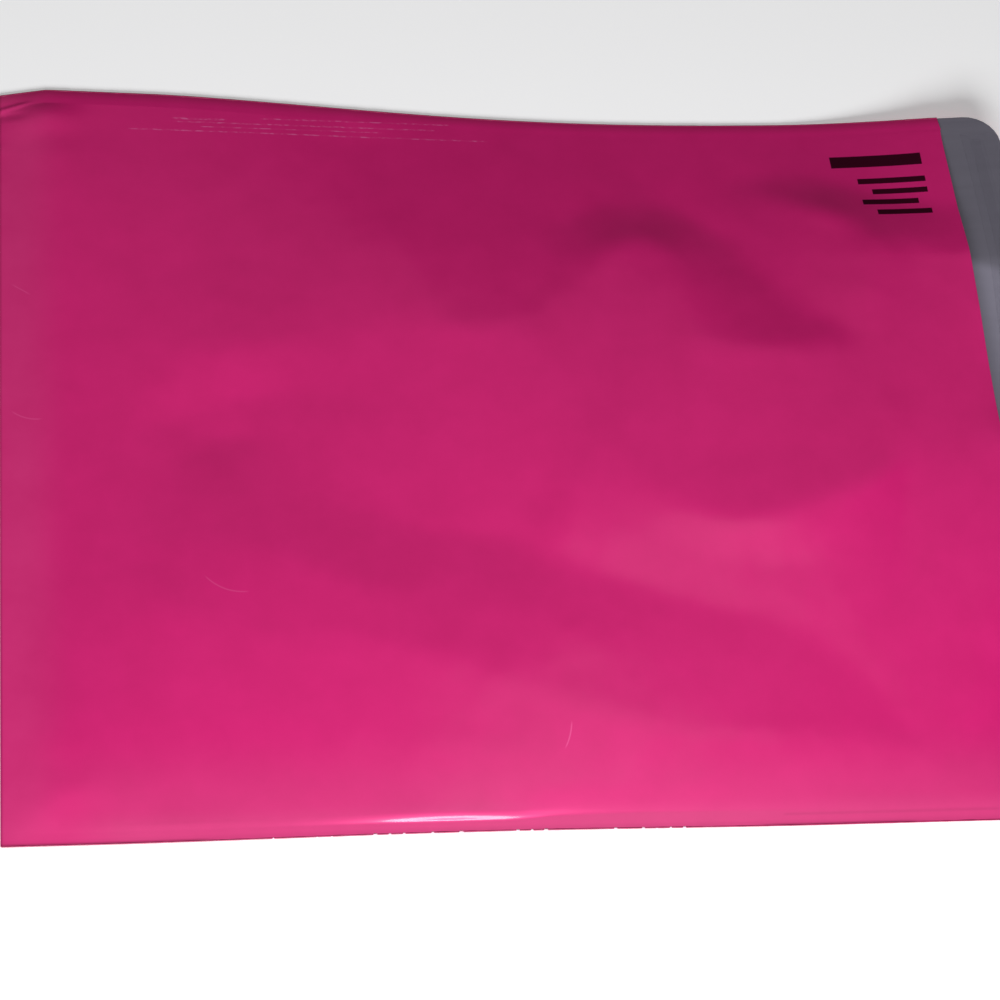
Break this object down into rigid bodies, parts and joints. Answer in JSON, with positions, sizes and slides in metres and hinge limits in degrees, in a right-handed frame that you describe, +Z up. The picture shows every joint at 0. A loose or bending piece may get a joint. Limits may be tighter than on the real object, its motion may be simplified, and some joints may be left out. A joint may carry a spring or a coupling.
{
  "type": "poly mailer bag",
  "caption": "Flat mailing bag of thin film with a folded closed end, welded sides, an open mouth and a short flap with glue under a peel-off liner, slightly puffed.",
  "frame": {"origin": "under the middle of the whole bag, flap included, on the surface that it lies on", "axes": "+X along the bag from the closed end to the flap, +Y across it to the far side weld, +Z up through the front panel"},
  "size_m": [0.351, 0.2543, 0.0131],
  "materials": {
    "pink_film": "glossy blown polyethylene film, hot pink outside and dull blue-grey inside, with soft billows and fine scratches",
    "glue": "clear hot-melt glue bead, slightly cloudy",
    "liner_film": "thin clear film with a silicone face, slightly cloudy"
  },
  "bodies": {
    "root": {"mailer_film": "pink_film", "glue_strip": "glue", "release_liner": "liner_film"}
  },
  "joints": []
}
